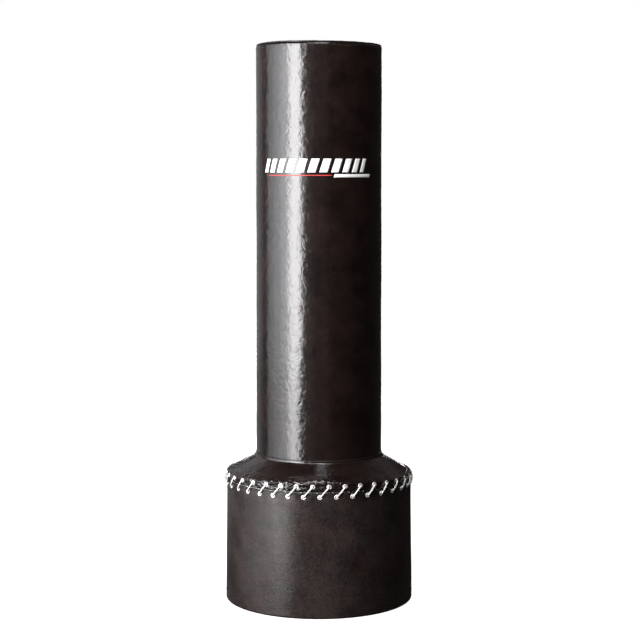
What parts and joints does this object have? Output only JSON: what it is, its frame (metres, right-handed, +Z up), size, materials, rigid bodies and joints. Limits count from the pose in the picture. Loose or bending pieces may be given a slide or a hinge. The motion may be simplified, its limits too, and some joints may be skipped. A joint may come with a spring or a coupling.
{
  "type": "free standing punching bag",
  "caption": "Tall padded column on a sprung neck over a wide weighted drum base, with a sloped skirt laced to the base wall through eyelets.",
  "frame": {"origin": "middle of the underside of the base", "axes": "+Z up along the column, -Y towards the side seen as the front, +X to its right"},
  "size_m": [0.55, 0.5522, 1.61],
  "materials": {
    "cover_leather": "satin",
    "band_webbing": "matte",
    "rim_binding": "satin",
    "eyelet_metal": "polished",
    "lace_cord": "matte",
    "tank_plastic": "matte",
    "cap_plastic": "satin",
    "gasket_rubber": "matte",
    "sand": "matte",
    "padding_foam": "matte",
    "striking_foam": "matte",
    "neck_steel": "satin",
    "spring_steel": "satin",
    "bolt_steel": "satin",
    "insert_brass": "satin",
    "foot_plywood": "matte",
    "tube_plastic": "matte"
  },
  "bodies": {
    "base": {"base_cover_wall": "cover_leather", "base_cover_bottom": "cover_leather", "wall_eyelet_band": "band_webbing", "skirt_eyelet_band": "band_webbing", "wall_eyelets": "eyelet_metal", "skirt_eyelets": "eyelet_metal", "skirt_outer_panel": "cover_leather", "skirt_inner_panel": "cover_leather", "lacing_cord": "lace_cord", "lace_knot": "lace_cord", "base_tank": "tank_plastic", "ballast_sand": "sand", "filler_gasket": "gasket_rubber", "base_foam_wrap": "padding_foam", "shoulder_foam_ring": "padding_foam", "neck_base_plate": "neck_steel", "tank_inserts": "insert_brass", "spring_lower_clamp": "neck_steel", "neck_base_bolts": "bolt_steel"},
    "neck": {"neck_spring": "spring_steel"},
    "column": {"spring_upper_clamp": "neck_steel", "core_bolts": "bolt_steel", "core_nuts": "bolt_steel", "core_foot_plate": "foot_plywood", "core_lower_flange": "neck_steel", "core_tube": "tube_plastic", "core_top_cap": "tube_plastic", "inner_foam": "striking_foam", "outer_foam": "striking_foam", "top_foam_pad": "striking_foam", "column_cover_wall": "cover_leather", "column_cover_bottom": "cover_leather", "column_cover_top": "cover_leather", "top_seam_welt": "rim_binding", "collar_rim_binding": "rim_binding"},
    "filler_cap": {"filler_cap": "cap_plastic"}
  },
  "joints": [
    {"name": "sway_forward", "type": "hinge", "parent": "base", "child": "neck", "pos_m": [0, 0, 0.34], "axis": [1, 0, 0], "range_deg": [-6, 6], "stiffness_Nm_per_rad": 1100, "deforming": ["neck_spring", "skirt_outer_panel", "skirt_inner_panel"]},
    {"name": "sway_sideways", "type": "hinge", "parent": "neck", "child": "column", "pos_m": [0, 0, 0.34], "axis": [0, 1, 0], "range_deg": [-6, 6], "stiffness_Nm_per_rad": 1100, "deforming": ["neck_spring", "skirt_outer_panel", "skirt_inner_panel"]},
    {"name": "cap_turn", "type": "hinge", "parent": "base", "child": "filler_cap", "pos_m": [0, 0.224, 0.3645], "axis": [0, 0, 1], "range_deg": [0, 540]}
  ]
}
